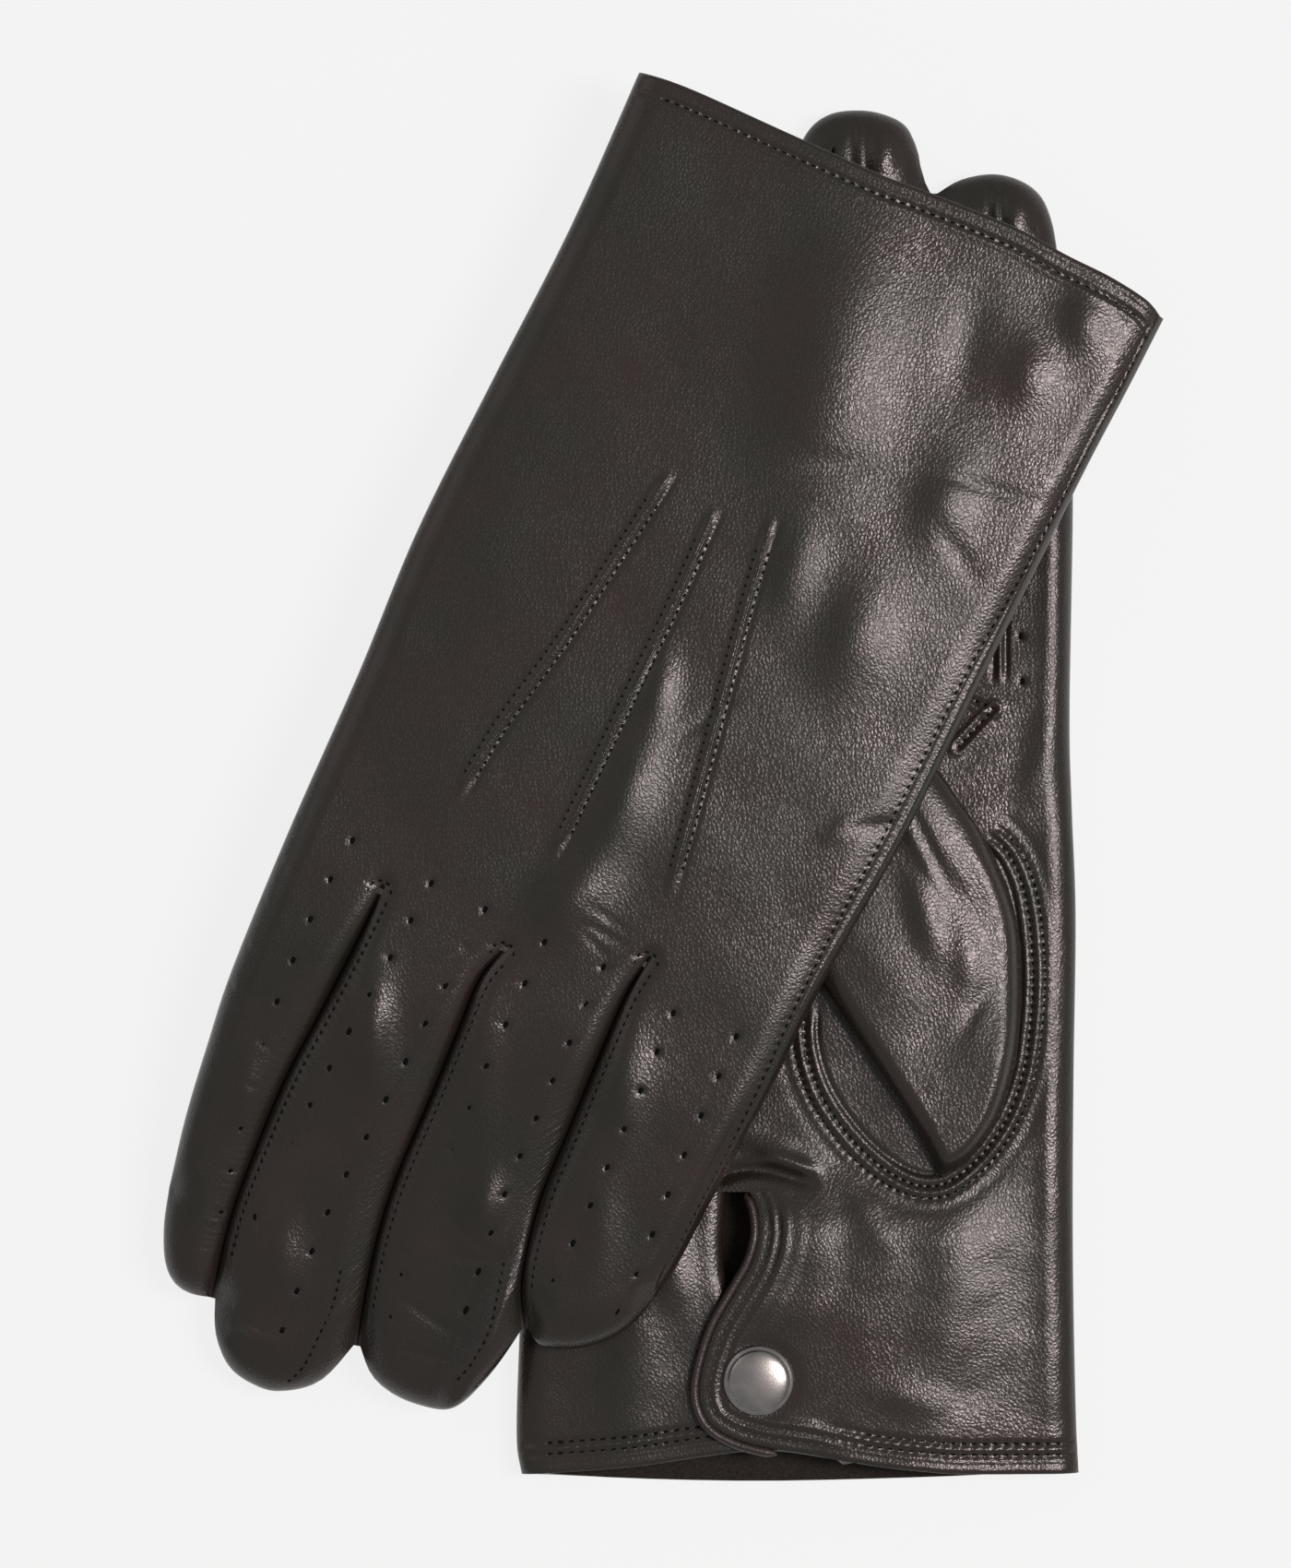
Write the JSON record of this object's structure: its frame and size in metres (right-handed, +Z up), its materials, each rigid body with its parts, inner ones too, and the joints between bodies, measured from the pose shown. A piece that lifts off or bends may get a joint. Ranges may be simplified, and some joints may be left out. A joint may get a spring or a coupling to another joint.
{
  "type": "pair of leather driving gloves",
  "caption": "Pair of unlined nappa driving gloves lying flat and crossed, with perforated fingers, three points on the back, a wrist vent and a domed snap.",
  "frame": {"origin": "centre of the bounding box of the pair as it lies, on the surface below it", "axes": "+Z up from the surface, +Y from the right glove's cuff towards its fingertips, +X towards the right glove's index side"},
  "size_m": [0.1841, 0.2504, 0.0246],
  "materials": {
    "glove_leather": "soft satin nappa, very dark brown-black, fine grain",
    "side_leather": "soft satin nappa, very dark brown-black",
    "binding_leather": "rolled leather edge, slightly polished",
    "snap_steel": "matte gunmetal, satin dome"
  },
  "bodies": {
    "right_hand": {"right_back_panel": "glove_leather", "right_palm_panel": "glove_leather", "right_index_fold": "glove_leather", "right_quirks": "side_leather", "right_snap_stud": "snap_steel", "right_snap_post": "snap_steel"},
    "left_hand": {"left_back_panel": "glove_leather", "left_palm_panel": "glove_leather", "left_index_fold": "glove_leather", "left_quirks": "side_leather", "left_snap_stud": "snap_steel", "left_snap_post": "snap_steel"},
    "left_index": {"left_index_back": "glove_leather", "left_index_palm": "glove_leather", "left_index_sides": "side_leather"},
    "left_middle": {"left_middle_back": "glove_leather", "left_middle_palm": "glove_leather", "left_middle_sides": "side_leather"},
    "left_ring": {"left_ring_back": "glove_leather", "left_ring_palm": "glove_leather", "left_ring_sides": "side_leather"},
    "left_little": {"left_little_back": "glove_leather", "left_little_palm": "glove_leather", "left_little_sides": "side_leather"},
    "left_thumb": {"left_thumb_outer": "glove_leather", "left_thumb_inner": "glove_leather", "left_thumb_sides": "side_leather"},
    "left_flap": {"left_vent_flap": "glove_leather", "left_vent_binding": "binding_leather", "left_snap_cap": "snap_steel", "left_snap_socket": "snap_steel"},
    "right_index": {"right_index_back": "glove_leather", "right_index_palm": "glove_leather", "right_index_sides": "side_leather"},
    "right_middle": {"right_middle_back": "glove_leather", "right_middle_palm": "glove_leather", "right_middle_sides": "side_leather"},
    "right_ring": {"right_ring_back": "glove_leather", "right_ring_palm": "glove_leather", "right_ring_sides": "side_leather"},
    "right_little": {"right_little_back": "glove_leather", "right_little_palm": "glove_leather", "right_little_sides": "side_leather"},
    "right_thumb": {"right_thumb_outer": "glove_leather", "right_thumb_inner": "glove_leather", "right_thumb_sides": "side_leather"},
    "right_flap": {"right_vent_flap": "glove_leather", "right_vent_binding": "binding_leather", "right_snap_cap": "snap_steel", "right_snap_socket": "snap_steel"}
  },
  "joints": [
    {"name": "left_glove_lift", "type": "slide", "parent": "right_hand", "child": "left_hand", "axis": [0, 0, 1], "range_m": [0, 0.14]},
    {"name": "left_index_lift", "type": "hinge", "parent": "left_hand", "child": "left_index", "pos_m": [-0.05717, -0.02132, 0.0196], "axis": [-0.907, 0.421, 0], "range_deg": [0, 55]},
    {"name": "left_middle_lift", "type": "hinge", "parent": "left_hand", "child": "left_middle", "pos_m": [-0.03872, -0.02989, 0.0196], "axis": [-0.907, 0.421, 0], "range_deg": [0, 55]},
    {"name": "left_ring_lift", "type": "hinge", "parent": "left_hand", "child": "left_ring", "pos_m": [-0.01654, -0.04018, 0.0196], "axis": [-0.907, 0.421, 0], "range_deg": [0, 55]},
    {"name": "left_little_lift", "type": "hinge", "parent": "left_hand", "child": "left_little", "pos_m": [0.0105, -0.04392, 0.0196], "axis": [-0.907, 0.421, 0], "range_deg": [0, 55]},
    {"name": "right_index_curl", "type": "hinge", "parent": "right_hand", "child": "right_index", "pos_m": [0.0651, 0.03177, 0.004], "axis": [1, 0, 0], "range_deg": [0, 75]},
    {"name": "right_middle_curl", "type": "hinge", "parent": "right_hand", "child": "right_middle", "pos_m": [0.03945, 0.03177, 0.004], "axis": [1, 0, 0], "range_deg": [0, 75]},
    {"name": "right_ring_curl", "type": "hinge", "parent": "right_hand", "child": "right_ring", "pos_m": [0.01565, 0.03177, 0.004], "axis": [1, 0, 0], "range_deg": [0, 75]},
    {"name": "right_little_curl", "type": "hinge", "parent": "right_hand", "child": "right_little", "pos_m": [-0.0063, 0.02377, 0.004], "axis": [1, 0, 0], "range_deg": [0, 75]},
    {"name": "right_thumb_unfold", "type": "hinge", "parent": "right_hand", "child": "right_thumb", "pos_m": [0.0742, -0.03323, 0.00815], "axis": [0, 1, 0], "range_deg": [0, 100]},
    {"name": "left_thumb_unfold", "type": "hinge", "parent": "left_hand", "child": "left_thumb", "pos_m": [-0.03466, 0.03989, 0.01545], "axis": [0.421, 0.907, 0], "range_deg": [0, 70]},
    {"name": "right_flap_open", "type": "hinge", "parent": "right_hand", "child": "right_flap", "pos_m": [0.0347, -0.10023, 0.0098], "axis": [0, 1, 0], "range_deg": [0, 70]},
    {"name": "left_flap_open", "type": "hinge", "parent": "left_hand", "child": "left_flap", "pos_m": [0.02938, 0.08403, 0.0138], "axis": [0.421, 0.907, 0], "range_deg": [0, 50]}
  ],
  "couplings": [
    {"joint": "right_index_curl", "follows": "left_glove_lift", "rad_per_m": 9.3499},
    {"joint": "right_middle_curl", "follows": "left_glove_lift", "rad_per_m": 9.3499},
    {"joint": "right_ring_curl", "follows": "left_glove_lift", "rad_per_m": 9.3499},
    {"joint": "right_little_curl", "follows": "left_glove_lift", "rad_per_m": 9.3499},
    {"joint": "right_thumb_unfold", "follows": "left_glove_lift", "rad_per_m": 12.467},
    {"joint": "left_thumb_unfold", "follows": "left_glove_lift", "rad_per_m": 8.7266},
    {"joint": "left_flap_open", "follows": "left_glove_lift", "rad_per_m": 6.2333}
  ]
}
